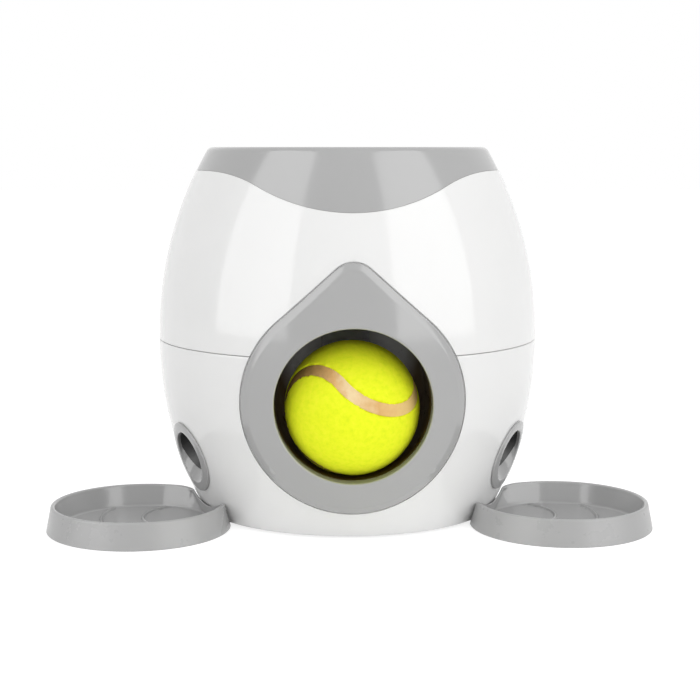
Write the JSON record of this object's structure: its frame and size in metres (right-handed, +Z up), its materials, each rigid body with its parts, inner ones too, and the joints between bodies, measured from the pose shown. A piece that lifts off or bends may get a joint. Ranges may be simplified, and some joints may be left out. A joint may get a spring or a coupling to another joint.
{
  "type": "gravity ball return with treat dispenser",
  "caption": "Barrel-shaped white pet toy with a grey funnel top: a ball dropped in rolls out of the front opening and treats slide into grey side trays.",
  "frame": {"origin": "on the floor, on the axis of the barrel-shaped body", "axes": "+Z up, -Y to the front where the ball comes out, +X to the right tray as seen from above with the front down"},
  "size_m": [0.3072, 0.2035, 0.1915],
  "materials": {
    "white_shell": "gloss",
    "grey_trim": "satin gloss",
    "dark_chute": "matt",
    "grey_inner": "matt",
    "white_inner": "matt",
    "black_paddle": "matt",
    "steel": "zinc plated",
    "foot_rubber": "matt",
    "ball_felt": "felt",
    "ball_rubber": "matt"
  },
  "bodies": {
    "housing": {"lower_shell": "white_shell", "upper_shell": "white_shell", "front_bezel": "grey_trim", "ball_trough": "dark_chute", "chute_hood": "dark_chute", "treat_hopper": "grey_inner", "drop_tube": "grey_inner", "left_treat_duct": "grey_inner", "right_treat_duct": "grey_inner", "left_outlet": "grey_trim", "right_outlet": "grey_trim", "shaft_bushes": "white_inner", "rubber_feet": "foot_rubber", "chute_screws": "steel", "hopper_screws": "steel", "bezel_screws": "steel"},
    "lid": {"top_funnel": "grey_trim"},
    "trip": {"trip_shaft": "steel", "trip_paddle": "black_paddle", "counterweight": "steel", "left_dosing_drum": "white_inner", "right_dosing_drum": "white_inner", "shaft_clips": "steel", "drive_pins": "steel"},
    "play_ball": {"ball": "ball_felt", "ball_seam": "ball_rubber"},
    "tray_left": {"left_tray": "grey_trim"},
    "tray_right": {"right_tray": "grey_trim"}
  },
  "joints": [
    {"name": "trip_swing", "type": "hinge", "parent": "housing", "child": "trip", "pos_m": [0, 0.043, 0.102], "axis": [1, 0, 0], "range_deg": [0, 52]},
    {"name": "lid_lift", "type": "slide", "parent": "housing", "child": "lid", "axis": [0, 0, 1], "range_m": [0, 0.06]},
    {"name": "ball_roll", "type": "slide", "parent": "housing", "child": "play_ball", "axis": [0, -1, 0], "range_m": [0, 0.12]},
    {"name": "left_tray_pull", "type": "slide", "parent": "housing", "child": "tray_left", "axis": [-0.8988, -0.4384, 0], "range_m": [0, 0.05]},
    {"name": "right_tray_pull", "type": "slide", "parent": "housing", "child": "tray_right", "axis": [0.8988, -0.4384, 0], "range_m": [0, 0.05]}
  ]
}
